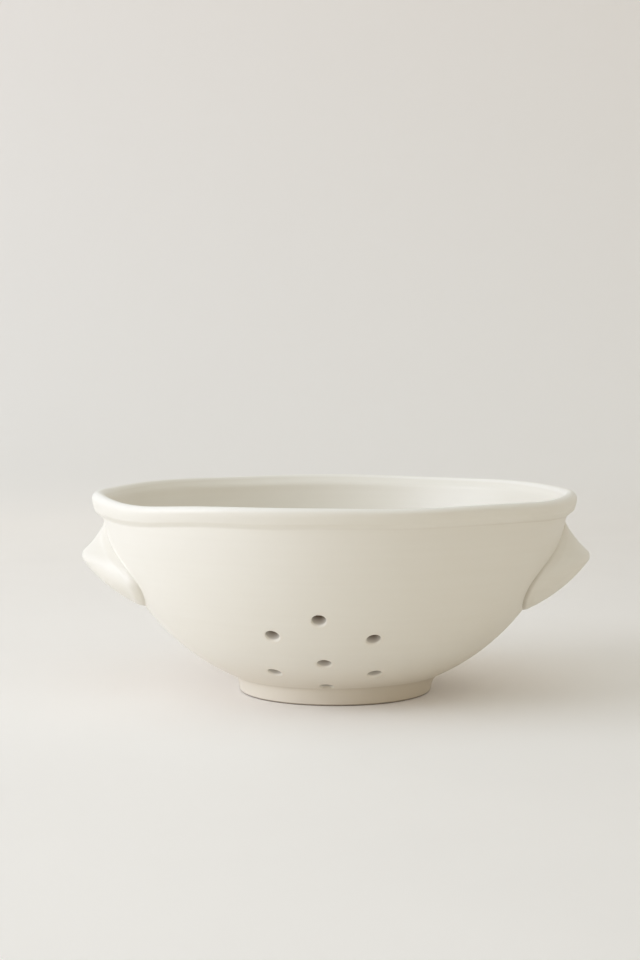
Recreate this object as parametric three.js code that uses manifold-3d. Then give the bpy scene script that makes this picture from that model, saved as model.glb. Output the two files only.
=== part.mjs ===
// A small glazed ceramic colander for rinsing berries: a round bowl pierced with drain holes,
// a flared rim band lapped over its lip, a foot ring under it and an ear-shaped lug on each side.
// Millimetres, +Z up. The origin is on the table under the middle of the foot ring, +X points
// to the right lug and -Y to the front, where the drain holes are seen.

import * as THREE from "three";
import { mergeVertices } from "three/addons/utils/BufferGeometryUtils.js";
import Module from "manifold-3d";

const wasm = await Module();
wasm.setup();

// Bowl: in section the outer wall is a quarter ellipse that starts BELLY_FLAT from the axis.
const BELLY_FLAT = 7.5;
const BELLY_REACH = 75.5;
const BELLY_DEPTH = 79;
const WALL = 3;
const FLOOR_UNDERSIDE = 2.2;
const LIP_HEIGHT = 63.5;

// The bowl's lip ends in a thin tongue, and the rim band is lapped over it.
const TONGUE_HEIGHT = 3;
const TONGUE_WIDTH = 1.3;

// Rim band: it steps out from the lip, and its face leans out to a rounded edge.
const RIM_HEIGHT = 7.6;
const RIM_STEP = 2.4;
const RIM_STEP_HEIGHT = 1.7;
const RIM_LEAN = 1.1;
const RIM_NOSE = 2.2;

// Foot ring: a low ring whose face flares upward in a hollow curve to the bowl.
const FOOT_RADIUS = 33.7;
const FOOT_WIDTH = 5;
const FOOT_FLARE = 3.2;
const FOOT_HOLLOW = 0.8;
const FOOT_EDGE = 0.6;
const FOOT_LAND = 0.4;

// Lugs: the upper face is hollowed for the thumb, the lower one swells.
const LUG_DROP = 3.7;
const LUG_HEIGHT = 30.2;
const LUG_TIP_DROP = 11.8;
const LUG_REACH = 13;
const LUG_NOSE = 2.9;
const LUG_NOSE_BOW = 0.4;
const LUG_HOLLOW = 0.6;
const LUG_SWELL = 1.8;
const LUG_EDGE = 0.4;

// Seen from its side, a lug broadens from its top to LUG_BROAD_DROP and rounds off below.
const LUG_HALF_WIDTH = 32;
const LUG_BROAD_DROP = 19;
const LUG_POINT = 4;
const LUG_TAPER = 1.3;

// Seen from above, its face is crowned and rolls over to the wall at its edges.
const LUG_CROWN = 2.2;
const LUG_ROLL = 1.8;

// Drain holes: a middle hole with six round it, pierced by hand, so each one has drifted a little.
// Drift is across and up, for the middle hole and then clockwise from the top one.
const DRAIN_DIAMETER = 4.6;
const DRAIN_EDGE = 0.5;
const DRAIN_PITCH = 19.5;
const DRAIN_ABOVE_FOOT = 24.5;
const DRAIN_TURN_DEGREES = 3;
const FLOOR_DRAIN_PITCH = 14;
const DRAIN_RING = 6;
const HAND_DRIFT = [[0.5, -2.5], [0, 0], [0, 1], [-0.5, 0], [0, -1.5], [-0.5, 0], [1, 2.5]];
const TOOL_CLEARANCE = 1;

// Clay joints are closed with a film of slip this thick.
const JOINT_GAP = 0.3;

// Fineness of the round surfaces, as numbers of facets.
const TURN_STEPS = 64;
const OUTER_WALL_STEPS = 12;
const INNER_WALL_STEPS = 10;
const RIM_STEPS = 4;
const FOOT_STEPS = 3;
const DRAIN_STEPS = 12;
const LUG_STEPS = 16;
const LUG_HOLLOW_STEPS = 6;
const LUG_NOSE_STEPS = 4;
const LUG_SWELL_STEPS = 8;

const glaze = { color: 0xeeeae0, roughness: 0.42, metalness: 0 };
const footGlaze = { color: 0xe2dbcc, roughness: 0.5, metalness: 0 };

/** Angle on the wall's ellipse, inset into the wall, at a height. */
function angleAtHeight(height, inset = 0) {
  return -Math.asin((BELLY_DEPTH - height) / (BELLY_DEPTH - inset));
}

/** Angle on the outer wall's ellipse at a radius. */
function angleAtRadius(radius) {
  return -Math.acos((radius - BELLY_FLAT) / BELLY_REACH);
}

/** The wall's section between two angles, inset into the wall and shifted up. */
function wallCurve(inset, from, to, lift = 0) {
  const reach = BELLY_REACH - inset;
  const depth = BELLY_DEPTH - inset;
  return new THREE.EllipseCurve(BELLY_FLAT, BELLY_DEPTH + lift, reach, depth, from, to, to < from);
}

/** Radius of the wall's surface at a height. */
function wallRadius(height, inset = 0) {
  return BELLY_FLAT + (BELLY_REACH - inset) * Math.cos(angleAtHeight(height, inset));
}

/** Height of the outer wall's surface at a radius. */
function wallHeight(radius) {
  return BELLY_DEPTH + BELLY_DEPTH * Math.sin(angleAtRadius(radius));
}

/** A curve from one point to another that bows to the left of its chord. */
function bowed(from, to, bow) {
  const chord = to.clone().sub(from);
  const left = new THREE.Vector2(-chord.y, chord.x).normalize();
  const control = from.clone().add(to).multiplyScalar(0.5).addScaledVector(left, 2 * bow);
  return new THREE.QuadraticBezierCurve(from, control, to);
}

/** Revolves a section of radius and height round +Z. */
function turned(section, steps) {
  return new THREE.LatheGeometry(section, steps).rotateX(Math.PI / 2);
}

/** Keeps only merged positions, without triangles that have closed up. */
function welded(geometry) {
  geometry.deleteAttribute("normal");
  geometry.deleteAttribute("uv");
  const merged = mergeVertices(geometry);
  const kept = [];
  const index = merged.index.array;
  for (let i = 0; i < index.length; i += 3) {
    const [a, b, c] = index.slice(i, i + 3);
    if (a !== b && b !== c && c !== a) kept.push(a, b, c);
  }
  merged.setIndex(kept);
  return merged;
}

/** A closed geometry as a solid that can be cut. */
function toSolid(geometry) {
  const merged = welded(geometry);
  const vertProperties = new Float32Array(merged.attributes.position.array);
  const triVerts = new Uint32Array(merged.index.array);
  return new wasm.Manifold(new wasm.Mesh({ numProp: 3, vertProperties, triVerts }));
}

/** A cut solid as a geometry again. */
function toGeometry(solid) {
  const { vertProperties, triVerts } = solid.getMesh();
  const geometry = new THREE.BufferGeometry();
  geometry.setAttribute("position", new THREE.BufferAttribute(vertProperties, 3));
  geometry.setIndex(new THREE.BufferAttribute(triVerts, 1));
  return geometry;
}

/** The bowl's section, from the underside of the floor round the lip to the floor inside. */
function bowlSection() {
  const floor = FLOOR_UNDERSIDE + WALL;
  const outside = wallCurve(0, angleAtHeight(FLOOR_UNDERSIDE), angleAtHeight(LIP_HEIGHT));
  const inside = wallCurve(WALL, angleAtHeight(LIP_HEIGHT, WALL), angleAtHeight(floor, WALL));
  const throat = wallRadius(LIP_HEIGHT, WALL);
  const tongueTop = LIP_HEIGHT + TONGUE_HEIGHT;
  return [
    new THREE.Vector2(0, FLOOR_UNDERSIDE),
    ...outside.getPoints(OUTER_WALL_STEPS),
    new THREE.Vector2(throat + TONGUE_WIDTH, LIP_HEIGHT),
    new THREE.Vector2(throat + TONGUE_WIDTH, tongueTop),
    new THREE.Vector2(throat, tongueTop),
    ...inside.getPoints(INNER_WALL_STEPS),
    new THREE.Vector2(0, floor),
  ];
}

/** A piercing tool along +Z with its mouth at the origin, flared where the glaze rounds the edges. */
function drainTool(depth) {
  const radius = DRAIN_DIAMETER / 2;
  const mouth = radius + DRAIN_EDGE;
  const section = [
    [0, -depth - TOOL_CLEARANCE],
    [mouth, -depth - TOOL_CLEARANCE],
    [mouth, -depth],
    [radius, -depth + DRAIN_EDGE],
    [radius, -DRAIN_EDGE],
    [mouth, 0],
    [mouth, TOOL_CLEARANCE],
    [0, TOOL_CLEARANCE],
  ];
  return turned(section.map(([r, z]) => new THREE.Vector2(r, z)), DRAIN_STEPS);
}

/** Places of a middle hole and a ring of holes round it, as distances across and up. */
function flower(pitch, drift) {
  const places = [new THREE.Vector2()];
  for (let i = 0; i < DRAIN_RING; i += 1) {
    const angle = (2 * Math.PI * i) / DRAIN_RING;
    places.push(new THREE.Vector2(Math.sin(angle), Math.cos(angle)).multiplyScalar(pitch));
  }
  return places.map((place, i) => place.add(new THREE.Vector2(...drift[i])));
}

/** Radius where the foot ring's hollow joint ends on the wall. */
function footJointRadius() {
  return FOOT_RADIUS + FOOT_FLARE;
}

/** Tools for the flower of holes in the wall on the side that faces a direction. */
function wallDrains(facing) {
  const whole = wallCurve(0, -Math.PI / 2, angleAtHeight(LIP_HEIGHT));
  const below = wallCurve(0, -Math.PI / 2, angleAtRadius(footJointRadius()));
  const centre = below.getLength() + DRAIN_ABOVE_FOOT;
  return flower(DRAIN_PITCH, HAND_DRIFT).map((place) => {
    const along = (centre + place.y) / whole.getLength();
    const point = whole.getPointAt(along);
    const tangent = whole.getTangentAt(along);
    const lean = Math.atan2(tangent.x, -tangent.y);
    const turn = facing + place.x / point.x;
    const tool = drainTool(WALL).rotateY(lean);
    return tool.translate(point.x, 0, point.y).rotateZ(turn);
  });
}

/** Tools for the flower of holes in the floor. */
function floorDrains() {
  const still = HAND_DRIFT.map(() => [0, 0]);
  return flower(FLOOR_DRAIN_PITCH, still).map((place) => {
    return drainTool(WALL).translate(place.x, place.y, FLOOR_UNDERSIDE + WALL);
  });
}

/** The bowl: a turned shell with its drain holes pierced through. */
function bowlBody() {
  const front = -Math.PI / 2 - THREE.MathUtils.degToRad(DRAIN_TURN_DEGREES);
  const tools = [...wallDrains(front), ...wallDrains(front + Math.PI), ...floorDrains()];
  let bowl = toSolid(turned(bowlSection(), TURN_STEPS));
  for (const tool of tools) {
    bowl = bowl.subtract(toSolid(tool));
  }
  return toGeometry(bowl);
}

/** The rim band: it stands on the bowl's lip outside the tongue and covers the tongue's top. */
function rimBand() {
  const lip = wallRadius(LIP_HEIGHT);
  const throat = wallRadius(LIP_HEIGHT, WALL);
  const seat = LIP_HEIGHT + JOINT_GAP;
  const overTongue = seat + TONGUE_HEIGHT;
  const tongueFace = throat + TONGUE_WIDTH + JOINT_GAP;
  const skirt = lip + RIM_STEP;
  const edge = skirt + RIM_LEAN;
  const noseHeight = LIP_HEIGHT + RIM_HEIGHT - RIM_NOSE;
  const skirtHeight = seat + RIM_STEP_HEIGHT;
  const noseSweep = (5 / 6) * Math.PI;
  const section = new THREE.Path();
  section.moveTo(lip, seat);
  section.quadraticCurveTo(skirt - RIM_STEP / 4, seat, skirt, skirtHeight);
  section.quadraticCurveTo(edge, (skirtHeight + noseHeight) / 2, edge, noseHeight);
  section.absarc(edge - RIM_NOSE, noseHeight, RIM_NOSE, 0, noseSweep);
  section.quadraticCurveTo(throat, (overTongue + noseHeight) / 2, throat, overTongue);
  section.lineTo(tongueFace, overTongue);
  section.lineTo(tongueFace, seat);
  section.lineTo(lip, seat);
  return turned(section.getPoints(RIM_STEPS), TURN_STEPS);
}

/** The foot ring: flat on the table, its top shaped to the underside of the bowl. */
function footRing() {
  const inner = FOOT_RADIUS - FOOT_WIDTH;
  const joint = footJointRadius();
  const jointTop = wallHeight(joint) - JOINT_GAP;
  const faceTop = jointTop - FOOT_LAND;
  const section = new THREE.Path();
  section.moveTo(inner + FOOT_EDGE, 0);
  section.lineTo(FOOT_RADIUS - FOOT_EDGE, 0);
  section.quadraticCurveTo(FOOT_RADIUS, 0, FOOT_RADIUS, FOOT_EDGE);
  section.quadraticCurveTo(FOOT_RADIUS + FOOT_HOLLOW, faceTop - FOOT_HOLLOW, joint, faceTop);
  section.lineTo(joint, jointTop);
  const top = wallCurve(0, angleAtRadius(joint), angleAtRadius(inner), -JOINT_GAP);
  section.curves.push(top);
  section.currentPoint.copy(top.getPoint(1));
  section.lineTo(inner, FOOT_EDGE);
  section.quadraticCurveTo(inner, 0, inner + FOOT_EDGE, 0);
  return turned(section.getPoints(FOOT_STEPS), TURN_STEPS);
}

/** The lug's outline in the plane through the bowl's axis, from its top to its lower end. */
function lugOutline() {
  const topHeight = LIP_HEIGHT - LUG_DROP;
  const tipHeight = topHeight - LUG_TIP_DROP;
  const endHeight = topHeight - LUG_HEIGHT;
  const tipRadius = wallRadius(tipHeight) + LUG_REACH;
  const top = new THREE.Vector2(wallRadius(topHeight) + JOINT_GAP + LUG_EDGE, topHeight);
  const end = new THREE.Vector2(wallRadius(endHeight) + JOINT_GAP + LUG_EDGE, endHeight);
  const noseTop = new THREE.Vector2(tipRadius - LUG_NOSE_BOW, tipHeight + LUG_NOSE / 2);
  const noseEnd = new THREE.Vector2(tipRadius - LUG_NOSE_BOW, tipHeight - LUG_NOSE / 2);
  const hollow = bowed(top, noseTop, -LUG_HOLLOW).getPoints(LUG_HOLLOW_STEPS);
  const nose = bowed(noseTop, noseEnd, LUG_NOSE_BOW).getPoints(LUG_NOSE_STEPS);
  const swell = bowed(noseEnd, end, LUG_SWELL).getPoints(LUG_SWELL_STEPS);
  return [...hollow, ...nose.slice(1), ...swell.slice(1)];
}

/** Half the lug's width at a height: it broadens from its point and rounds off below. */
function lugHalfWidth(height) {
  const topHeight = LIP_HEIGHT - LUG_DROP;
  const broadHeight = topHeight - LUG_BROAD_DROP;
  const endHeight = topHeight - LUG_HEIGHT;
  const spare = LUG_HALF_WIDTH - LUG_POINT;
  if (height > broadHeight) {
    const share = (topHeight - height) / (topHeight - broadHeight);
    return LUG_POINT + spare * Math.sin((Math.PI / 2) * share) ** LUG_TAPER;
  }
  const share = (broadHeight - height) / (broadHeight - endHeight);
  return LUG_POINT + spare * Math.sqrt(1 - share ** 2);
}

/** How far the lug's face stands off its back, across its width: a rolled edge, then a crown. */
function lugStandOff(full, across, halfWidth) {
  const fromSeam = (1 - Math.abs(across)) * halfWidth;
  const turnIn = 1 - Math.min(fromSeam / LUG_ROLL, 1);
  const edge = Math.min(LUG_ROLL, full / 2);
  return edge * Math.sqrt(1 - turnIn ** 2) + (full - edge) * (1 - Math.abs(across) ** LUG_CROWN);
}

/** One level section of the lug: its outer face, and its back, which follows the wall. */
function lugLevel({ x: radius, y: height }) {
  const back = wallRadius(height) + JOINT_GAP;
  const halfWidth = lugHalfWidth(height);
  const spread = Math.asin(halfWidth / back);
  const outer = [];
  const inner = [];
  for (let i = 0; i <= LUG_STEPS; i += 1) {
    const across = Math.sin(Math.PI * (i / LUG_STEPS - 0.5));
    const front = back + lugStandOff(radius - back, across, halfWidth);
    const turn = across * spread;
    outer.push(new THREE.Vector3(front * Math.cos(turn), front * Math.sin(turn), height));
    inner.push(new THREE.Vector3(back * Math.cos(turn), back * Math.sin(turn), height));
  }
  return { outer, inner };
}

/** A lug on the +X side, lofted through its level sections from the top down. */
function lug() {
  const positions = [];
  const quad = (a, b, c, d) => {
    for (const corner of [a, b, c, a, c, d]) positions.push(...corner.toArray());
  };
  const levels = lugOutline().map(lugLevel);
  const first = levels[0];
  const last = levels[levels.length - 1];
  for (let i = 0; i < LUG_STEPS; i += 1) {
    quad(first.inner[i], first.outer[i], first.outer[i + 1], first.inner[i + 1]);
    quad(last.inner[i + 1], last.outer[i + 1], last.outer[i], last.inner[i]);
    for (let k = 0; k + 1 < levels.length; k += 1) {
      const upper = levels[k];
      const lower = levels[k + 1];
      quad(upper.outer[i], lower.outer[i], lower.outer[i + 1], upper.outer[i + 1]);
      quad(upper.inner[i + 1], lower.inner[i + 1], lower.inner[i], upper.inner[i]);
    }
  }
  const geometry = new THREE.BufferGeometry();
  geometry.setAttribute("position", new THREE.Float32BufferAttribute(positions, 3));
  return welded(geometry);
}

/** A named mesh with its own material. */
function piece(name, geometry, finish) {
  const mesh = new THREE.Mesh(geometry, new THREE.MeshStandardMaterial(finish));
  mesh.name = name;
  return mesh;
}

const colander = new THREE.Group();
const rightLug = piece("right_lug_handle", lug(), glaze);
const leftLug = piece("left_lug_handle", lug(), glaze);
leftLug.rotation.z = Math.PI;
colander.add(
  piece("bowl_body", bowlBody(), glaze),
  piece("rim_band", rimBand(), glaze),
  piece("foot_ring", footRing(), footGlaze),
  leftLug,
  rightLug,
);

export default colander;
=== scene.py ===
"""Dresses a small glazed ceramic colander: dense glazed meshes, a pale studio stage and a camera.

Lengths are metres in the part's own frame: +Z up from the table, +X towards the right lug and
-Y towards the front, where the drain holes are seen.
"""

from __future__ import annotations

import logging
import math
from dataclasses import dataclass
from enum import Enum
from functools import cached_property
from typing import Any, Callable, Mapping, NamedTuple, Sequence

import bmesh
import bpy
import numpy as np
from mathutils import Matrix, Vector


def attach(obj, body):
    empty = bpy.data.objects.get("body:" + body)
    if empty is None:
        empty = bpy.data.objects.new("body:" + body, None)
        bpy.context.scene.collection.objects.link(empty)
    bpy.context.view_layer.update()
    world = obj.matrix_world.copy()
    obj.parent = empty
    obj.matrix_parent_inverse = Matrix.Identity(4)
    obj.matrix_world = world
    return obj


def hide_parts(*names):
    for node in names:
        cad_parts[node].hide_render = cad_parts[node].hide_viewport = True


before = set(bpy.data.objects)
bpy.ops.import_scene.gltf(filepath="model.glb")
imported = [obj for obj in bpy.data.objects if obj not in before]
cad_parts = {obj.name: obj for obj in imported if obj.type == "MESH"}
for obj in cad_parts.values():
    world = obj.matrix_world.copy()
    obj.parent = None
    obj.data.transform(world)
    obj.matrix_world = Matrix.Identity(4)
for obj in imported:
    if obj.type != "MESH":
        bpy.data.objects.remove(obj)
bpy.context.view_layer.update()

MM = 0.001
FULL_TURN = 2 * math.pi
RIGHT_SIDE = 0.0
LEFT_SIDE = math.pi
SIDE_POWER = 4
OUTWARDS = 0.0
DOWNWARDS = -90.0
INWARDS = -180.0
NOISE_MEAN = 0.5
BLACK = (0.0, 0.0, 0.0)
# painted shade for the deep hollows: the bowl's bottom inside and the lugs' seams
DEEP_PAINTED_SHADE = (0.480, 0.430, 0.350)
# mesh attribute of glaze depth: thinner glaze at edges, and painted highlight and painted shade
GLAZE_AND_LIGHT_ATTRIBUTE = "glaze_depth"
# mesh attribute of bare clay under the foot, and of painted shade in the holes' bores
BARE_AND_HOLE_SHADE_ATTRIBUTE = "bare_clay"

Spot = tuple[float, float]
Triple = tuple[float, float, float]
Colour = Triple
Place = Triple
Cell = tuple[int, int]
Grid = dict[Cell, int]
Settings = Mapping[str, Any]
Inputs = Mapping[str | int, Any]

log = logging.getLogger("colander")


class Part(Enum):
    """The colander's pieces: name, CAD node and material slot of each."""

    BOWL = ("glazed_bowl", "bowl_body", "bowl_glaze")
    RIM = ("glazed_rim", "rim_band", "rim_glaze")
    FOOT = ("glazed_foot", "foot_ring", "foot_glaze")
    LEFT_LUG = ("glazed_left_lug", "left_lug_handle", "lug_glaze")
    RIGHT_LUG = ("glazed_right_lug", "right_lug_handle", "lug_glaze")

    @property
    def title(self) -> str:
        """Name of the dressed piece."""
        return self.value[0]

    @property
    def node(self) -> str:
        """Name of the CAD node that the piece stands for."""
        return self.value[1]

    @property
    def slot(self) -> str:
        """Name of the record's material slot."""
        return self.value[2]


def ease(low: float, high: float, value: float) -> float:
    """Smooth step from 0 at low to 1 at high.

    Args:
        low: Value at which the step starts.
        high: Value at which it ends.
        value: Value to judge.

    Returns:
        A share from 0 to 1.
    """
    share = min(max((value - low) / (high - low), 0.0), 1.0)
    return share * share * (3 - 2 * share)


def mixed(first: float, second: float, share: float) -> float:
    """The value a share of the way from the first to the second."""
    return first + (second - first) * share


def soft_max(first: float, second: float, blend: float) -> float:
    """The larger of two values, with the crossover between them rounded.

    Args:
        first: One value.
        second: The other value.
        blend: Difference within which the crossover is rounded.

    Returns:
        The rounded maximum.
    """
    overlap = max(blend - abs(first - second), 0.0) / blend
    return max(first, second) + overlap * overlap * blend / 4


def bell(value: float, middle: float, spread: float) -> float:
    """A bell curve of height 1 about the middle."""
    return math.exp(-(((value - middle) / spread) ** 2))


def bezier(controls: Sequence[Spot], steps: int) -> list[Spot]:
    """Points on a Bezier curve, both ends included.

    Args:
        controls: The curve's control points.
        steps: Number of equal steps of the parameter.

    Returns:
        One more point than steps.
    """
    curve = []
    for i in range(steps + 1):
        row = [Vector(spot) for spot in controls]
        while len(row) > 1:
            row = [a.lerp(b, i / steps) for a, b in zip(row, row[1:])]
        curve.append((row[0].x, row[0].y))
    return curve


def arc(middle: Spot, radius: float, start: float, end: float, steps: int) -> list[Spot]:
    """Points on a circular arc, both ends included.

    Args:
        middle: The arc's centre.
        radius: Its radius.
        start: First angle in degrees.
        end: Last angle in degrees.
        steps: Number of equal steps.

    Returns:
        One more point than steps.
    """
    angles = np.radians(np.linspace(start, end, steps + 1))
    return [(middle[0] + radius * math.cos(a), middle[1] + radius * math.sin(a)) for a in angles]


def turned(radius: float, height: float, azimuth: float) -> Vector:
    """The point at a radius and height in the half plane at an azimuth in radians."""
    return Vector((radius * math.cos(azimuth), radius * math.sin(azimuth), height))


class Span(NamedTuple):
    """A length that changes on the way from the front and back of the colander to its sides."""

    front: float
    side: float

    def at(self, azimuth: float) -> float:
        """The length at an azimuth in radians."""
        return mixed(self.front, self.side, math.cos(azimuth) ** SIDE_POWER)


@dataclass(frozen=True)
class Dip:
    """A place where an edge sags: azimuth and spread in degrees, and its depth."""

    azimuth: float
    depth: float
    spread: float

    def at(self, azimuth: float) -> float:
        """How far the edge sags at an azimuth in radians."""
        apart = (math.degrees(azimuth) - self.azimuth + 180) % 360 - 180
        return self.depth * bell(apart, 0, self.spread)


@dataclass(frozen=True)
class HandWork:
    """What hands leave on wet clay: a lip that sags here and there and bulges at one side.

    It does so less and less down the wall.
    """

    dips: tuple[Dip, ...] = (
        Dip(-141.5, 1.7 * MM, 17.0),
        Dip(-73.5, 0.4 * MM, 10.0),
        Dip(-30.5, 0.6 * MM, 13.0),
        Dip(12.0, 0.3 * MM, 14.0),
        Dip(64.0, 0.5 * MM, 18.0),
        Dip(121.0, 0.4 * MM, 15.0),
        Dip(168.0, 0.6 * MM, 16.0),
    )
    bulge: Dip = Dip(180.0, 0.75 * MM, 30.0)
    fade_low: float = 44.0 * MM
    fade_high: float = 66.0 * MM

    def warp(self, point: Vector) -> Vector:
        """Sags and bulges the clay at a point.

        Args:
            point: The point before.

        Returns:
            The point after.
        """
        azimuth = math.atan2(point.y, point.x)
        drop = sum(dip.at(azimuth) for dip in self.dips)
        shift = turned(self.bulge.at(azimuth), -drop, azimuth)
        return point + shift * ease(self.fade_low, self.fade_high, point.z)


class Coat(NamedTuple):
    """Glaze at a point: depth below 0 lays the edge colour, above 0 painted shade; bare lays clay,
    which in the holes is painted shade.
    """

    depth: float = 0.0
    bare: float = 0.0


class Draft:
    """Points and faces of one closed mesh, gathered before they become an object."""

    def __init__(self) -> None:
        """Starts an empty mesh."""
        self.points: list[Vector] = []
        self.coats: list[Coat] = []
        self.faces: list[tuple[int, ...]] = []

    def add(self, point: Vector, coat: Coat = Coat()) -> int:
        """Adds a point with its glaze.

        Args:
            point: The point.
            coat: Glaze on it.

        Returns:
            The point's number.
        """
        self.points.append(point)
        self.coats.append(coat)
        return len(self.points) - 1

    def bridge(self, first: Sequence[int], second: Sequence[int], closed: bool = True) -> None:
        """Joins two rows of points by a strip of quads.

        Args:
            first: Point numbers of one row.
            second: As many point numbers of the other row.
            closed: Whether the rows run full circle.
        """
        count = len(first)
        for i in range(count if closed else count - 1):
            k = (i + 1) % count
            self.faces.append((first[i], first[k], second[k], second[i]))

    def to_object(self, name: str) -> bpy.types.Object:
        """Makes the smooth mesh object, with its faces pointing out.

        Args:
            name: Name of the object and its mesh.

        Returns:
            The new object, in the scene.
        """
        work = bmesh.new()
        glaze = work.verts.layers.float.new(GLAZE_AND_LIGHT_ATTRIBUTE)
        bare = work.verts.layers.float.new(BARE_AND_HOLE_SHADE_ATTRIBUTE)
        verts = [work.verts.new(point) for point in self.points]
        for vert, coat in zip(verts, self.coats):
            vert[glaze] = coat.depth
            vert[bare] = coat.bare
        for face in self.faces:
            work.faces.new([verts[i] for i in face]).smooth = True
        bmesh.ops.recalc_face_normals(work, faces=work.faces)
        mesh = bpy.data.meshes.new(name)
        work.to_mesh(mesh)
        work.free()
        piece = bpy.data.objects.new(name, mesh)
        bpy.context.scene.collection.objects.link(piece)
        return piece


@dataclass(frozen=True)
class Wall:
    """The bowl's wall: in section a quarter ellipse that starts a little way from the axis.

    Its top is the tongue that the rim covers.
    """

    flat: float = 7.5 * MM
    reach: float = 75.5 * MM
    depth: float = 79.0 * MM
    thickness: float = 3.0 * MM
    underside: float = 2.2 * MM
    floor_blend: float = 1.6 * MM
    top: float = 66.4 * MM
    samples: int = 1500
    probe: float = 0.2 * MM

    @cached_property
    def table(self) -> np.ndarray:
        """Rows of way along, radius and height of the outer face, from the axis to the lip."""
        end = -math.asin((self.depth - self.top) / self.depth)
        angles = np.linspace(-math.pi / 2, end, self.samples)
        radius = np.concatenate(([0.0], self.flat + self.reach * np.cos(angles)))
        ellipse = np.concatenate(([0.0], self.depth * (1 + np.sin(angles))))
        height = np.array([soft_max(self.underside, h, self.floor_blend) for h in ellipse])
        steps = np.hypot(np.diff(radius), np.diff(height))
        along = np.concatenate(([0.0], np.cumsum(steps)))
        return np.stack((along, radius, height))

    @property
    def length(self) -> float:
        """Way along the outer face from the axis to the lip."""
        return float(self.table[0, -1])

    def plain(self, along: float) -> Spot:
        """Radius and height of the wall's outer face, a way along it."""
        ways, radius, height = self.table
        return float(np.interp(along, ways, radius)), float(np.interp(along, ways, height))

    def tangent(self, along: float) -> Vector:
        """Direction of the wall, towards the lip.

        Args:
            along: Way along the outer face from the axis.

        Returns:
            Unit vector of radius and height.
        """
        before = Vector(self.plain(along - self.probe))
        after = Vector(self.plain(along + self.probe))
        return (after - before).normalized()

    def at(self, along: float, depth: float = 0.0) -> Spot:
        """Radius and height of a point in the wall.

        Args:
            along: Way along the outer face from the axis.
            depth: Depth below the outer face.

        Returns:
            Radius and height.
        """
        tangent = self.tangent(along)
        spot = Vector(self.plain(along)) + Vector((-tangent.y, tangent.x)) * depth
        return spot.x, spot.y

    def radius(self, height: float) -> float:
        """Radius of the wall's outer face at a height."""
        drop = (self.depth - height) / self.depth
        return self.flat + self.reach * math.sqrt(1 - drop * drop)

    def way_to(self, radius: float) -> float:
        """Way along the wall at a radius."""
        ways, radii, _ = self.table
        return float(np.interp(radius, radii, ways))


@dataclass(frozen=True, kw_only=True)
class Piece:
    """What the colander's pieces share: the wall, the hand work, the part and the finish."""

    wall: Wall
    hand: HandWork
    part: Part
    finish: bpy.types.Material

    def draft(self) -> Draft:
        """Gathers the points and faces of the piece."""
        raise NotImplementedError

    def build(self) -> bpy.types.Object:
        """Makes the piece's mesh object."""
        return self.draft().to_object(self.part.title)

    def dress(self, piece: bpy.types.Object) -> None:
        """Gives the piece its finish and puts it in its CAD node's place.

        Args:
            piece: The piece's object.
        """
        piece.data.materials.append(self.finish)
        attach(piece, "root")
        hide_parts(self.part.node)

    def make(self) -> bpy.types.Object:
        """Builds the piece, dresses it and reports it.

        Returns:
            The piece's object.
        """
        piece = self.build()
        self.dress(piece)
        log.info("%s stands for %s: %d faces", piece.name, self.part.node, len(piece.data.polygons))
        return piece

    def turn(self, section: Callable[[float], Sequence[tuple[Spot, Coat]]], columns: int) -> Draft:
        """Turns a closed section round the axis.

        Args:
            section: Gives the points of the section, with their glaze, at an azimuth in radians.
            columns: Facets round the axis.

        Returns:
            The mesh.
        """
        draft = Draft()
        rings = []
        for column in range(columns):
            azimuth = FULL_TURN * column / columns
            ring = []
            for (radius, height), coat in section(azimuth):
                ring.append(draft.add(self.hand.warp(turned(radius, height, azimuth)), coat))
            rings.append(ring)
        for first, second in zip(rings, rings[1:] + rings[:1]):
            draft.bridge(first, second)
        return draft


@dataclass(frozen=True)
class Drain:
    """A drain hole: its azimuth in radians, its way along the wall and how far it rises inwards."""

    azimuth: float
    along: float
    rise: float = 0.0


@dataclass(frozen=True)
class Block:
    """The cells of the wall's grid that a drain hole takes up."""

    low_row: int
    high_row: int
    low_column: int
    high_column: int

    def rim(self) -> list[Cell]:
        """Goes once round the block.

        Returns:
            Row and column of each grid place on the way.
        """
        rows = range(self.low_row, self.high_row)
        columns = range(self.low_column, self.high_column)
        lower = [(self.low_row, c) for c in columns]
        right = [(r, self.high_column) for r in rows]
        upper = [(self.high_row, c + 1) for c in reversed(columns)]
        left = [(r + 1, self.low_column) for r in reversed(rows)]
        return lower + right + upper + left


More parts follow.
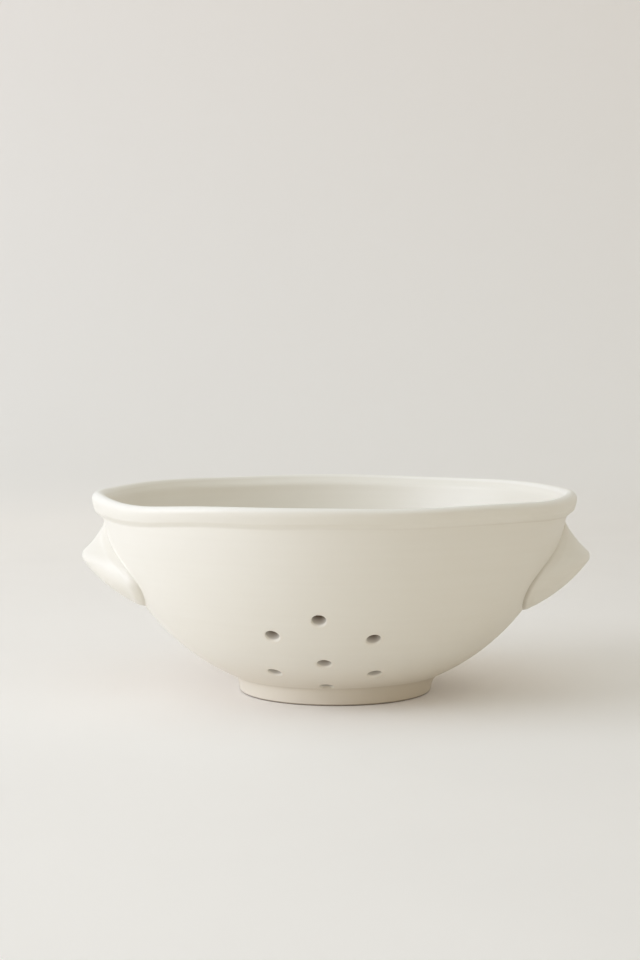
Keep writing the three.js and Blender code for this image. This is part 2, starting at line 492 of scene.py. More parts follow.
@dataclass(frozen=True, kw_only=True)
class Bowl(Piece):
    """The round bowl, pierced by a flower of drain holes in front, behind and in its floor."""

    columns: int = 240
    row_step: float = 1.4 * MM
    joint_radius: float = 36.9 * MM
    drain_radius: float = 2.4 * MM
    drain_edge: float = 0.4 * MM
    drain_taper: float = 0.7 * MM
    drain_rise: float = 2.0 * MM
    drain_pitch: float = 19.5 * MM
    floor_pitch: float = 14.0 * MM
    above_foot: float = 23.7 * MM
    front: float = math.radians(-93)
    patch: float = 4.9 * MM
    patch_rings: int = 6
    edge_steps: int = 5
    bore_steps: int = 6
    lip_thin: float = 0.35
    lip_reach: float = 1.3 * MM
    # painted shade in the bores: the near-black clay colour, rising from the outer lip to the inner
    # end
    bore_painted_shade: Spot = (0.28, 1.0)
    inner_lip_painted_shade: float = 0.25
    # painted shade inside the bowl, darker towards the bottom and fading out between these heights
    inner_painted_shade: float = 0.75
    inner_painted_shade_height: Spot = (14.0 * MM, 46.0 * MM)
    # painted shade low on the outside, with the darker warmer edge colour, fading out between these
    # heights
    foot_painted_shade: float = 0.9
    foot_painted_shade_height: Spot = (6.0 * MM, 20.0 * MM)
    drift_mm: tuple[Spot, ...] = (
        (0.3, -2.3),
        (-0.35, 0.0),
        (0.1, 1.0),
        (-0.3, 0.0),
        (-0.15, -1.5),
        (-0.35, 0.0),
        (0.8, 2.3),
    )

    @property
    def ring_count(self) -> int:
        """Number of holes round the middle one."""
        return len(self.drift_mm) - 1

    @cached_property
    def ways(self) -> np.ndarray:
        """Way along the wall of each row of the grid, from the middle hole to the lip."""
        first = self.drain_radius + self.drain_edge
        count = round((self.wall.length - first) / self.row_step)
        return np.linspace(first, self.wall.length, count + 1)

    def petals(self, pitch: float) -> list[Spot]:
        """Sets out a flower of holes.

        Args:
            pitch: Distance of the outer holes from the middle one.

        Returns:
            Each hole's place, across and up from the middle one, which comes first.
        """
        places = [(0.0, 0.0)]
        for i in range(self.ring_count):
            turn = FULL_TURN * i / self.ring_count
            places.append((pitch * math.sin(turn), pitch * math.cos(turn)))
        return places

    def drains(self) -> list[Drain]:
        """Sets out the drain holes.

        Returns:
            All holes but the middle one of the floor, which the grid itself leaves open.
        """
        found = []
        middle = self.wall.way_to(self.joint_radius) + self.above_foot
        petals = self.petals(self.drain_pitch)
        for facing in (self.front, self.front + math.pi):
            for (across, up), (drift_across, drift_up) in zip(petals, self.drift_mm):
                along = middle + up + drift_up * MM
                radius, _ = self.wall.plain(along)
                azimuth = facing + (across + drift_across * MM) / radius
                found.append(Drain(azimuth, along, self.drain_rise))
        for across, up in self.petals(self.floor_pitch)[1:]:
            found.append(Drain(math.atan2(up, across), math.hypot(across, up)))
        return found

    def place(self, azimuth: float, along: float, depth: float) -> Vector:
        """The point of the wall at an azimuth, a way along and a depth."""
        radius, height = self.wall.at(along, depth)
        return self.hand.warp(turned(radius, height, azimuth))

    def glazed(self, along: float, depth: float) -> Coat:
        """Painted shade on a face of the wall: outside darker towards the foot, inside darker
        towards the bottom.

        Args:
            along: Way along the wall from the axis.
            depth: Depth below the outer face, 0 on the outer face itself.

        Returns:
            The glaze.
        """
        _, height = self.wall.at(along, depth)
        if depth:
            # painted shade inside, darker towards the bottom
            return Coat(self.inner_painted_shade * (1 - ease(*self.inner_painted_shade_height, height)))
        # painted shade outside, darker and warmer towards the foot
        return Coat(self.foot_painted_shade * (ease(*self.foot_painted_shade_height, height) - 1))

    def lipped(self, coat: Coat, gap: float) -> Coat:
        """Glaze at a gap from a hole's edge, where it draws back and lies thinner."""
        return Coat(coat.depth - self.lip_thin * (1 - ease(0.0, self.lip_reach, gap)), coat.bare)

    def block(self, drain: Drain) -> Block:
        """Chooses the grid cells that a hole and the wall next to it take up.

        Args:
            drain: The hole.

        Returns:
            The block of cells.
        """
        radius, _ = self.wall.plain(drain.along)
        step = self.ways[1] - self.ways[0]
        half_rows = math.ceil(self.patch / step)
        half_columns = math.ceil(self.patch / (radius * FULL_TURN / self.columns))
        row = round((drain.along - self.ways[0]) / step)
        column = round(drain.azimuth * self.columns / FULL_TURN)
        return Block(row - half_rows, row + half_rows, column - half_columns, column + half_columns)

    def sheet(self, draft: Draft, depth: float, blocks: Sequence[Block]) -> Grid:
        """Lays one face of the wall as a grid that leaves the holes' blocks open.

        Args:
            draft: Mesh to add to.
            depth: Depth of this face in the wall.
            blocks: Blocks to leave open.

        Returns:
            Point number of each row and column.
        """
        cells = set()
        inside = set()
        for block in blocks:
            for row in range(block.low_row, block.high_row):
                for column in range(block.low_column, block.high_column):
                    cells.add((row, column % self.columns))
                    if row > block.low_row and column > block.low_column:
                        inside.add((row, column % self.columns))
        grid = {}
        for row, along in enumerate(self.ways):
            coat = self.lipped(self.glazed(along, depth), along - self.ways[0])
            for column in range(self.columns):
                if (row, column) not in inside:
                    azimuth = FULL_TURN * column / self.columns
                    grid[row, column] = draft.add(self.place(azimuth, along, depth), coat)
        for row in range(len(self.ways) - 1):
            for column in range(self.columns):
                if (row, column) not in cells:
                    beside = (column + 1) % self.columns
                    corners = ((row, column), (row, beside), (row + 1, beside), (row + 1, column))
                    draft.faces.append(tuple(grid[corner] for corner in corners))
        return grid

    def bore(self) -> list[tuple[float, float, Coat]]:
        """Sets out the rings of a bore, between its two mouths.

        Returns:
            Radius, depth and glaze of each ring.
        """
        edge = self.drain_edge
        thickness = self.wall.thickness
        mouth = []
        for i in range(1, self.edge_steps + 1):
            angle = math.pi / 2 * i / self.edge_steps
            mouth.append((edge * (1 - math.sin(angle)), edge * (1 - math.cos(angle))))
        lip = Coat(-self.lip_thin)
        rings = [(self.drain_radius + flare, depth, lip) for flare, depth in mouth]
        for i in range(1, self.bore_steps):
            share = i / self.bore_steps
            radius = self.drain_radius - self.drain_taper * share
            depth = mixed(edge, thickness - edge, share)
            # painted shade: the bore darkens inwards
            rings.append((radius, depth, Coat(0.0, mixed(*self.bore_painted_shade, share))))
        for flare, depth in reversed(mouth):
            coat = Coat(0.0, mixed(self.inner_lip_painted_shade, self.bore_painted_shade[1], depth / edge))
            rings.append((self.drain_radius - self.drain_taper + flare, thickness - depth, coat))
        return rings

    def pierce(self, draft: Draft, drain: Drain, block: Block, grids: Sequence[Grid]) -> None:
        """Fills a block with a patch that runs from the grid into a round hole.

        The patch is laid out on the flat cone that touches the wall at the hole.

        Args:
            draft: Mesh to add to.
            drain: The hole.
            block: The grid cells left open for it.
            grids: The outer and the inner face.
        """
        slope = self.wall.tangent(drain.along).x
        radius, _ = self.wall.plain(drain.along)
        apex = radius / slope
        mouth = self.drain_radius + self.drain_edge
        mouths = (mouth, mouth - self.drain_taper)
        spots = []
        for row, column in block.rim():
            way = apex + self.ways[row] - drain.along
            turn = slope * (FULL_TURN * column / self.columns - drain.azimuth)
            spots.append(Vector((way * math.sin(turn), way * math.cos(turn) - apex)))
        angles = np.unwrap([math.atan2(s.y, s.x) for s in spots])
        sense = np.sign(angles[-1] - angles[0])
        even = angles[0] + sense * np.linspace(0, FULL_TURN, len(spots) + 1)[:-1]
        even += np.mean(angles - even)

        def ring(share: float, size: float, depth: float, coat: Coat | None = None) -> list[int]:
            """Adds a ring of points.

            Args:
                share: Share of the way from the block's rim to the circle.
                size: Radius of the circle.
                depth: Depth of the ring in the wall.
                coat: Glaze on the ring, or None for the wall's own.

            Returns:
                Point numbers.
            """
            numbers = []
            middle = Vector((0.0, drain.rise * depth / self.wall.thickness))
            for spot, own, level in zip(spots, angles, even):
                angle = mixed(own, level, share)
                flat = spot.lerp(middle + Vector((math.cos(angle), math.sin(angle))) * size, share)
                way = math.hypot(flat.x, apex + flat.y)
                azimuth = drain.azimuth + math.atan2(flat.x, apex + flat.y) / slope
                along = drain.along + way - apex
                gap = (flat - middle).length - size
                own_coat = coat or self.lipped(self.glazed(along, depth), gap)
                numbers.append(draft.add(self.place(azimuth, along, depth), own_coat))
            return numbers

        lips = []
        for grid, depth, size in zip(grids, (0.0, self.wall.thickness), mouths):
            last = [grid[row, column % self.columns] for row, column in block.rim()]
            for i in range(1, self.patch_rings + 1):
                new = ring(i / self.patch_rings, size, depth)
                draft.bridge(last, new)
                last = new
            lips.append(last)
        last = lips[0]
        for size, depth, coat in self.bore():
            new = ring(1.0, size, depth, coat)
            draft.bridge(last, new)
            last = new
        draft.bridge(last, lips[1])

    def draft(self) -> Draft:
        """Gathers the two faces of the wall, its lip and its holes.

        Returns:
            The mesh.
        """
        draft = Draft()
        drains = self.drains()
        blocks = [self.block(drain) for drain in drains]
        grids = [self.sheet(draft, depth, blocks) for depth in (0.0, self.wall.thickness)]
        for drain, block in zip(drains, blocks):
            self.pierce(draft, drain, block, grids)
        columns = range(self.columns)
        top = len(self.ways) - 1
        lips = [[grid[top, column] for column in columns] for grid in grids]
        draft.bridge(lips[0], lips[1])
        last, inner_mouth = [[grid[0, column] for column in columns] for grid in grids]
        turns = [FULL_TURN * column / self.columns for column in columns]
        for size, depth, coat in self.bore():
            new = [draft.add(self.place(turn, size, depth), coat) for turn in turns]
            draft.bridge(last, new)
            last = new
        draft.bridge(last, inner_mouth)
        return draft


@dataclass(frozen=True, kw_only=True)
class Rim(Piece):
    """The band round the mouth: it steps out of the wall in a soft crease and rounds over inwards.

    It is broader and stands out further at the lugs than in front and behind.
    """

    columns: int = 240
    crest: float = 71.08 * MM
    edge: Span = Span(84.5 * MM, 85.0 * MM)
    nose: Span = Span(1.6 * MM, 2.5 * MM)
    step: Span = Span(0.85 * MM, 2.1 * MM)
    step_height: Span = Span(2.0 * MM, 3.2 * MM)
    step_middle: float = 65.4 * MM
    step_dips: tuple[Dip, ...] = (
        Dip(0.0, 2.2 * MM, 16.0),
        Dip(180.0, 2.2 * MM, 24.0),
        Dip(-150.0, 0.55 * MM, 22.0),
        Dip(-106.0, 0.5 * MM, 12.0),
        Dip(-37.0, -0.25 * MM, 10.0),
    )
    nose_start: float = -7.0
    nose_end: float = 150.0
    overlap: float = 0.7 * MM
    sink: float = 0.05 * MM
    slide: float = 1.6 * MM
    tuck: float = 4.0 * MM
    # painted shade along the crease under the rim, stronger towards the front right
    crease_shade: float = 0.06
    crease_shade_run: Dip = Dip(-15.0, 0.5, 40.0)
    crease_shade_spread: float = 0.6 * MM
    # painted highlight: how much of the near-white edge colour is laid over the top of the rounded
    # edge
    thin_glaze_and_painted_light: float = 1.0
    face_steps: int = 24
    nose_steps: int = 16
    inside_steps: int = 12

    def crease(self, azimuth: float) -> Spot:
        """Finds the step out of the wall.

        Args:
            azimuth: Azimuth in radians.

        Returns:
            Heights at which the step starts and ends.
        """
        middle = self.step_middle - sum(dip.at(azimuth) for dip in self.step_dips)
        half = self.step_height.at(azimuth) / 2
        return middle - half, middle + half

    def inside(self, nose: Sequence[Spot]) -> list[Spot]:
        """Draws the band's inner side, from the rounded edge down over the wall's lip.

        Args:
            nose: Points of the rounded edge, the inner end last.

        Returns:
            Radius and height of each point after the rounded edge.
        """
        wall = self.wall
        end = Vector(nose[-1])
        fall = (end - Vector(nose[-2])).normalized()
        throat = Vector(wall.at(wall.length, wall.thickness + self.sink))
        rise = wall.tangent(wall.length)
        after = tuple(end + fall * self.slide)
        before = tuple(throat + rise * self.slide)
        spots = bezier((nose[-1], after, before, tuple(throat)), self.inside_steps)
        for i in range(1, self.inside_steps + 1):
            share = i / self.inside_steps
            proud = mixed(self.sink, -self.sink, share)
            spots.append(wall.at(wall.length - self.tuck * share, wall.thickness + proud))
        return spots[1:]

    def section(self, azimuth: float) -> list[tuple[Spot, Coat]]:
        """Points round the section with their glaze, from the wall up and over the edge.

        Args:
            azimuth: Azimuth in radians.

        Returns:
            Radius and height of each point, and its glaze.
        """
        wall = self.wall
        step = self.step.at(azimuth)
        size = self.nose.at(azimuth)
        low, high = self.crease(azimuth)
        root = low - self.overlap
        centre = (self.edge.at(azimuth) - size, self.crest - size)
        nose = arc(centre, size, self.nose_start, self.nose_end, self.nose_steps)
        brink, shoulder = nose[0]
        flare = brink - wall.radius(shoulder) - step
        # painted shade along the crease
        crease_shade = self.crease_shade + self.crease_shade_run.at(azimuth)
        rows = []
        for i in range(self.face_steps):
            height = mixed(root, shoulder, i / self.face_steps)
            stand = step * ease(low, high, height) + flare * ease(low, shoulder, height)
            stand -= self.sink * (1 - ease(root, low, height))
            coat = Coat(crease_shade * bell(height, low, self.crease_shade_spread))
            rows.append(((wall.radius(height) + stand, height), coat))
        for spot in nose:
            # painted highlight over the top of the rounded edge, growing towards the crest
            rows.append((spot, Coat(-self.thin_glaze_and_painted_light * ease(shoulder, self.crest, spot[1]))))
        return rows + [(spot, Coat()) for spot in self.inside(nose)]

    def draft(self) -> Draft:
        """Gathers the turned band."""
        return self.turn(self.section, self.columns)


@dataclass(frozen=True, kw_only=True)
class Foot(Piece):
    """The low foot ring: bare where it stands, its face leaning out and turning into the bowl."""

    columns: int = 240
    radius: Span = Span(35.3 * MM, 34.1 * MM)
    width: float = 5.0 * MM
    joint: float = 37.8 * MM
    tilt: float = 1.1 * MM
    lean: float = 0.7 * MM
    waist: float = 5.0 * MM
    sweep: float = 2.4 * MM
    edge: float = 0.9 * MM
    sink: float = 0.03 * MM
    root: float = 1.2 * MM
    bare_low: float = 0.2 * MM
    bare_high: float = 0.75 * MM
    steps: int = 8

    def section(self, azimuth: float) -> list[tuple[Spot, Coat]]:
        """Points round the section with their glaze, from under the foot outwards.

        Args:
            azimuth: Azimuth in radians.

        Returns:
            Radius and height of each point, and its glaze.
        """
        wall = self.wall
        outer = self.radius.at(azimuth)
        inner = outer - self.width
        joint_way = wall.way_to(self.joint + self.tilt * math.cos(azimuth))
        top = Vector(wall.at(joint_way, self.sink))
        before = top - wall.tangent(joint_way) * self.sweep
        sole = bezier(((inner + self.edge, 0.0), (outer - self.edge, 0.0)), self.steps)
        heel = arc((outer - self.edge, self.edge), self.edge, DOWNWARDS, OUTWARDS, self.steps)
        upright = (outer + self.lean, self.waist)
        face = bezier((heel[-1], upright, tuple(before), tuple(top)), 2 * self.steps)
        inner_way = wall.way_to(inner - self.edge)
        buried_ways = np.linspace(joint_way, inner_way, self.steps + 1)
        buried = [wall.at(way, self.root) for way in buried_ways]
        inner_top = wall.at(inner_way, self.sink)
        inner_face = bezier((inner_top, (inner, inner_top[1]), (inner, self.edge)), self.steps)
        inner_heel = arc((inner + self.edge, self.edge), self.edge, INWARDS, DOWNWARDS, self.steps)
        outside = sole + heel[1:] + face[1:]
        inside = [inner_top] + inner_face[1:] + inner_heel[1:-1]
        rows = []
        for spot in outside + buried + inside:
            bare = 1 - ease(self.bare_low, self.bare_high, spot[1])
            rows.append((spot, Coat(-bare, bare)))
        return rows

    def draft(self) -> Draft:
        """Gathers the turned ring."""
        return self.turn(self.section, self.columns)


@dataclass(frozen=True, kw_only=True)
class Lug(Piece):
    """An ear-shaped lug: hollowed above for the thumb, swelling below, run into the wall."""

    facing: float
    height: float
    top: float = 59.8 * MM
    tip_drop: float = 11.8 * MM
    reach: float = 13.0 * MM
    nose: float = 2.9 * MM
    nose_bow: float = 0.4 * MM
    hollow: float = 0.6 * MM
    swell: float = 1.8 * MM
    start: float = 0.7 * MM
    half_width: float = 32.0 * MM
    broad_drop: float = 19.0 * MM
    point: float = 4.0 * MM
    taper: float = 1.3
    crown: float = 2.2
    lower_roll: float = 2.0 * MM
    upper_roll: float = 0.7 * MM
    roll_low: float = 39.0 * MM
    roll_high: float = 46.0 * MM
    bead: float = 0.2 * MM
    bead_middle: float = 2.4 * MM
    bead_spread: float = 1.3 * MM
    valley: float = 0.14 * MM
    valley_middle: float = 5.4 * MM
    valley_spread: float = 2.2 * MM
    wave_start: float = 1.5 * MM
    wave_full: float = 6.0 * MM
    least: float = 0.3 * MM
    apron: float = 2.6 * MM
    upper_blend: float = 1.2 * MM
    lower_blend: float = 0.15 * MM
    blend_low: float = 36.0 * MM
    blend_high: float = 56.0 * MM
    sink: float = 0.06 * MM
    root: float = 1.6 * MM
    # painted shade along the seams, fading out up the lug
    crease_shade: float = 1.0
    crease_shade_spread: float = 0.35 * MM
    outline_steps: int = 40
    rows: int = 110
    inner_columns: int = 44
    outer_columns: int = 12
    crowding: float = 1.7

    @cached_property
    def outline(self) -> np.ndarray:
        """Radius and height down the lug's middle, from above its top to below its end."""
        radius = self.wall.radius
        tip = self.top - self.tip_drop
        end = self.top - self.height
        tip_radius = radius(tip) + self.reach
        head = (radius(self.top) + self.start, self.top)
        tail = (radius(end) + self.start, end)
        upper = (tip_radius - self.nose_bow, tip + self.nose / 2)
        lower = (tip_radius - self.nose_bow, tip - self.nose / 2)
        above = (radius(self.top + self.apron) - self.apron, self.top + self.apron)
        below = (radius(end - self.apron) - self.apron, end - self.apron)
        runs = (
            (above, head),
            (head, self.bow(head, upper, -self.hollow), upper),
            (upper, self.bow(upper, lower, self.nose_bow), lower),
            (lower, self.bow(lower, tail, self.swell), tail),
            (tail, below),
        )
        spots = [above]
        for run in runs:
            spots += bezier(run, self.outline_steps)[1:]
        return np.array(spots)

    @staticmethod
    def bow(first: Spot, second: Spot, rise: float) -> Spot:
        """Finds the control point of a curve that bows to the left of its chord.

        Args:
            first: Start of the curve.
            second: Its end.
            rise: How far it bows.

        Returns:
            The control point.
        """
        chord = Vector((second[0] - first[0], second[1] - first[1]))
        left = Vector((-chord.y, chord.x)).normalized()
        middle = (Vector(first) + Vector(second)) / 2 + left * 2 * rise
        return middle.x, middle.y

    def width_at(self, height: float) -> float:
        """Half the lug's width: it broadens from its point and rounds off below.

        Args:
            height: Height.

        Returns:
            Half the width at that height.
        """
        broad = self.top - self.broad_drop
        end = self.top - self.height
        spare = self.half_width - self.point
        if height > broad:
            share = max(self.top - height, 0.0) / (self.top - broad)
            return self.point + spare * math.sin(math.pi / 2 * share) ** self.taper
        share = min((broad - height) / (broad - end), 1.0)
        return self.point + spare * math.sqrt(1 - share * share)

    def stand_off(self, radius: float, height: float, across: float) -> float:
        """How far the lug's face stands off the wall; where it is below zero, the wall covers it.

        Args:
            radius: Radius of the lug's middle at this height.
            height: Height.
            across: Place across the lug, -1 and 1 at its seams.

        Returns:
            Distance outwards from the wall.
        """
        full = radius - self.wall.radius(height)
        rise = max(full, self.least)
        low = min(full - self.least, 0.0)
        from_seam = (1 - abs(across)) * self.width_at(height)
        if from_seam > 0:
            raised = ease(self.roll_low, self.roll_high, height)
            roll = mixed(self.lower_roll, self.upper_roll, raised)
            turn_in = 1 - min(from_seam / roll, 1.0)
            edge = min(roll, rise / 2)
            waves = self.bead * bell(from_seam, self.bead_middle, self.bead_spread)
            waves -= self.valley * bell(from_seam, self.valley_middle, self.valley_spread)
            face = edge * math.sqrt(1 - turn_in * turn_in)
            face += (rise - edge) * (1 - abs(across) ** self.crown)
            face += waves * ease(self.wave_start, self.wave_full, rise) + low
        else:
            face = low + from_seam
        softness = ease(self.blend_low, self.blend_high, height)
        blend = mixed(self.lower_blend, self.upper_blend, softness)
        return soft_max(face, 0.0, blend) - self.sink

    def stations(self, width: float) -> list[float]:
        """Sets out places across the lug, crowded at its seams.

        Args:
            width: Half the lug's width.

        Returns:
            Places from beyond one seam, at -1, to beyond the other, at 1.
        """
        outer = []
        for i in range(self.outer_columns, 0, -1):
            outer.append(1 + self.apron / width * (i / self.outer_columns) ** self.crowding)
        inner = [1 - (i / self.inner_columns) ** self.crowding for i in range(self.inner_columns)]
        half = outer + inner
        return [-place for place in half] + [0.0] + half[::-1]

    def draft(self) -> Draft:
        """Gathers the lug's face and the back that is let into the wall.

        Returns:
            The mesh.
        """
        draft = Draft()
        steps = np.hypot(*np.diff(self.outline, axis=0).T)
        way = np.concatenate(([0.0], np.cumsum(steps)))
        even = np.linspace(0, way[-1], self.rows + 1)
        radii = np.interp(even, way, self.outline[:, 0])
        heights = np.interp(even, way, self.outline[:, 1])
        faces = []
        backs = []
        for radius, height in zip(radii, heights):
            width = self.width_at(height)
            bed = self.wall.radius(height)
            spread = math.asin(min(width / bed, 1.0))
            face = []
            back = []
            for across in self.stations(width):
                off = self.stand_off(radius, height, across)
                azimuth = self.facing + across * spread
                # painted shade along the seams, less towards the top
                painted_shade = self.crease_shade * bell((1 - abs(across)) * width, 0, self.crease_shade_spread)
                painted_shade *= 1 - ease(self.blend_low, self.blend_high, height)
                shown = self.hand.warp(turned(bed + off, height, azimuth))
                hidden = self.hand.warp(turned(bed - self.root, height, azimuth))
                face.append(draft.add(shown, Coat(painted_shade)))
                back.append(draft.add(hidden))
            faces.append(face)
            backs.append(back)
        for rows in (faces, backs):
            for first, second in zip(rows, rows[1:]):
                draft.bridge(first, second, closed=False)
        for end in (0, -1):
            draft.bridge(faces[end], backs[end], closed=False)
            draft.bridge([row[end] for row in faces], [row[end] for row in backs], closed=False)
        return draft


@dataclass(frozen=True, kw_only=True)
class LeftLug(Lug):
    """The left lug: a little shorter than the other, its seam softer and with less painted shade.
    """

    facing: float = LEFT_SIDE
    height: float = 29.4 * MM
    reach: float = 12.9 * MM
    upper_blend: float = 1.8 * MM
    blend_low: float = 33.0 * MM
    blend_high: float = 47.0 * MM
    crease_shade: float = 0.3


@dataclass(frozen=True, kw_only=True)
class RightLug(Lug):
    """The right lug: a little longer than the other."""

    facing: float = RIGHT_SIDE
    height: float = 30.4 * MM


class Wire:
    """A value in a node tree: arithmetic on it adds Math nodes."""

    def __init__(self, recipe: Recipe, socket: bpy.types.NodeSocket | None) -> None:
        """Wraps an output socket of the recipe's nodes, or None behind a closing node."""
        self.recipe = recipe
        self.socket = socket

    def math(self, operation: str, *values: Any) -> Wire:
        """Adds a Math node on these values."""
        return self.recipe.node("ShaderNodeMath", {"operation": operation}, dict(enumerate(values)))

    def __add__(self, other: Any) -> Wire:
        """Sum."""
        return self.math("ADD", self, other)

    def __radd__(self, other: Any) -> Wire:
        """Sum with a number first."""
        return self.math("ADD", other, self)

    def __sub__(self, other: Any) -> Wire:
        """Difference."""
        return self.math("SUBTRACT", self, other)

    def __rsub__(self, other: Any) -> Wire:
        """Difference from a number."""
        return self.math("SUBTRACT", other, self)

    def __mul__(self, other: Any) -> Wire:
        """Product."""
        return self.math("MULTIPLY", self, other)

    def __rmul__(self, other: Any) -> Wire:
        """Product with a number first."""
        return self.math("MULTIPLY", other, self)

    def __neg__(self) -> Wire:
        """Opposite."""
        return self.math("MULTIPLY", self, -1.0)

    def clamped(self) -> Wire:
        """The value held between 0 and 1."""
        return self.recipe.node("ShaderNodeClamp", {}, {"Value": self})

    def eased(self, low: float, high: float) -> Wire:
        """Smooth step from 0 to 1.

        Args:
            low: Value at which the step starts.
            high: Value at which it ends.

        Returns:
            The wire of the step.
        """
        settings = {"interpolation_type": "SMOOTHSTEP"}
        inputs = {"Value": self, "From Min": low, "From Max": high}
        return self.recipe.node("ShaderNodeMapRange", settings, inputs)

    def scaled(self, factors: Triple) -> Wire:
        """The vector with each axis multiplied."""
        inputs = {0: self, 1: factors}
        return self.recipe.node("ShaderNodeVectorMath", {"operation": "MULTIPLY"}, inputs)

    def axis(self, name: str) -> Wire:
        """One axis of the vector: X, Y or Z."""
        return self.recipe.node("ShaderNodeSeparateXYZ", {}, {"Vector": self}, name)


class Recipe:
    """The nodes of one material or of the world."""

    def __init__(self, owner: bpy.types.Material | bpy.types.World) -> None:
        """Empties the owner's node tree.

        Args:
            owner: The material or world.
        """
        owner.use_nodes = True
        self.tree = owner.node_tree
        self.tree.nodes.clear()

    def node(self, kind: str, settings: Settings, inputs: Inputs, output: str | int = 0) -> Wire:
        """Adds a node.

        Args:
            kind: The node's type.
            settings: Properties to set first.
            inputs: Value or wire of each input socket, by name, identifier or number.
            output: Name or number of the output to return.

        Returns:
            The wire of that output, which is empty behind a closing node.
        """
        made = self.tree.nodes.new(kind)
        for key, value in settings.items():
            setattr(made, key, value)
        for key, value in inputs.items():
            socket = self.find(made.inputs, key)
            if isinstance(value, Wire):
                self.tree.links.new(value.socket, socket)
            else:
                socket.default_value = value
        if not len(made.outputs):
            return Wire(self, None)
        return Wire(self, self.find(made.outputs, output))

    @staticmethod
    def find(sockets: Any, key: str | int) -> bpy.types.NodeSocket:
        """Finds a socket of a node.

        Args:
            sockets: The node's inputs or outputs.
            key: Number, identifier or name of the socket.

        Returns:
            The socket.
        """
        if isinstance(key, int):
            return sockets[key]
        for socket in sockets:
            if socket.identifier == key:
                return socket
        return sockets[key]

    def noise(self, place: Wire, scale: float, detail: float) -> Wire:
        """A noise pattern about its mean."""
        inputs = {"Vector": place, "Scale": scale, "Detail": detail}
        return self.node("ShaderNodeTexNoise", {}, inputs)

    def attribute(self, name: str) -> Wire:
        """A value stored on the mesh."""
        return self.node("ShaderNodeAttribute", {"attribute_name": name}, {}, "Fac")

    def seen(self) -> Wire:
        """Tells the rays that show something from those that only light it.

        Returns:
            1 for rays from the camera, a mirror or glass, and 0 for others.
        """
        rays = ("Is Camera Ray", "Is Glossy Ray", "Is Transmission Ray")
        camera, glossy, through = (self.node("ShaderNodeLightPath", {}, {}, ray) for ray in rays)
        return (camera + glossy + through).clamped()

    def mix(self, share: Wire, first: Any, second: Any) -> Wire:
        """A colour between two colours."""
        inputs = {"Factor_Float": share, "A_Color": first, "B_Color": second}
        return self.node("ShaderNodeMix", {"data_type": "RGBA"}, inputs, "Result_Color")

    def surface(self, colour: Wire, roughness: Any, more: Inputs) -> None:
        """Ends a material in a Principled shader.

        Args:
            colour: Base colour.
            roughness: Roughness.
            more: Other inputs of the shader.
        """
        inputs = {"Base Color": colour, "Roughness": roughness, **more}
        shader = self.node("ShaderNodeBsdfPrincipled", {}, inputs)
        self.node("ShaderNodeOutputMaterial", {}, {"Surface": shader})


def opaque(colour: Colour) -> tuple[float, float, float, float]:
    """The colour with full alpha."""
    return (*colour, 1.0)


@dataclass(frozen=True)
class Glaze:
    """Warm white satin glaze: clouded a little, drawn off the edges, with painted shade in the
    creases; the edge colour also lays painted light.
    """

    name: str
    white: Colour = (0.890, 0.866, 0.802)
    shade: Colour = (0.850, 0.820, 0.748)
    # edge colour: thinner glaze at hole lips and under the foot; on the rim a painted highlight,
    # low on the bowl's outside painted shade
    thin_glaze_and_painted_light: Colour = (0.872, 0.802, 0.692)
    # painted shade: the darker colour laid where creases and hollows fall in shade
    painted_shade: Colour = (0.620, 0.570, 0.480)
    clay: Colour = (0.290, 0.235, 0.180)
    thin_share: float = 0.55
    painted_shade_share: float = 0.6
    roughness: float = 0.42
    cloud_rough: float = 0.10
    thin_rough: float = 0.06
    pooled_gloss: float = 0.05
    clay_roughness: float = 0.85
    cloud_scale: float = 26.0
    cloud_detail: float = 3.0
    cloud_tone: float = 0.75
    streak_scale: Triple = (14.0, 14.0, 520.0)
    streak_detail: float = 2.0
    streak_tone: float = 0.5
    tone_cut: float = 0.15
    peel_scale: float = 1500.0
    peel_detail: float = 1.0
    streak_relief: float = 0.7
    peel_relief: float = 0.3
    relief: float = 0.05 * MM
    relief_strength: float = 0.25

    def material(self) -> bpy.types.Material:
        """Makes the glaze's material.

        Returns:
            The material.
        """
        material = bpy.data.materials.new(self.name)
        recipe = Recipe(material)
        place = recipe.node("ShaderNodeTexCoord", {}, {}, "Object")
        depth = recipe.attribute(GLAZE_AND_LIGHT_ATTRIBUTE)
        bare = recipe.attribute(BARE_AND_HOLE_SHADE_ATTRIBUTE).clamped()
        cloud = recipe.noise(place, self.cloud_scale, self.cloud_detail)
        streak = recipe.noise(place.scaled(self.streak_scale), 1.0, self.streak_detail)
        peel = recipe.noise(place, self.peel_scale, self.peel_detail)
        # mask of the edge colour: thinner glaze, and painted light where the pieces lay it
        thin_glaze_and_painted_light = (-depth).clamped()
        painted_shade = depth.clamped()
        tone = (self.cloud_tone * cloud + self.streak_tone * streak - self.tone_cut).clamped()
        body = recipe.mix(tone, opaque(self.white), opaque(self.shade))
        edged = recipe.mix(self.thin_share * thin_glaze_and_painted_light, body, opaque(self.thin_glaze_and_painted_light))
        # mixes in the painted shade where the glaze depth attribute is above zero
        creased = recipe.mix(self.painted_shade_share * painted_shade, edged, opaque(self.painted_shade))
        colour = recipe.mix(bare, creased, opaque(self.clay))
        satin = self.roughness + self.cloud_rough * (cloud - NOISE_MEAN)
        satin = satin + self.thin_rough * thin_glaze_and_painted_light - self.pooled_gloss * painted_shade
        rough = satin + bare * (self.clay_roughness - self.roughness)
        height = self.streak_relief * streak + self.peel_relief * peel
        sizes = {"Strength": self.relief_strength, "Distance": self.relief}
        bump = recipe.node("ShaderNodeBump", {}, {**sizes, "Height": height})
        recipe.surface(colour, rough, {"Normal": bump})
        return material


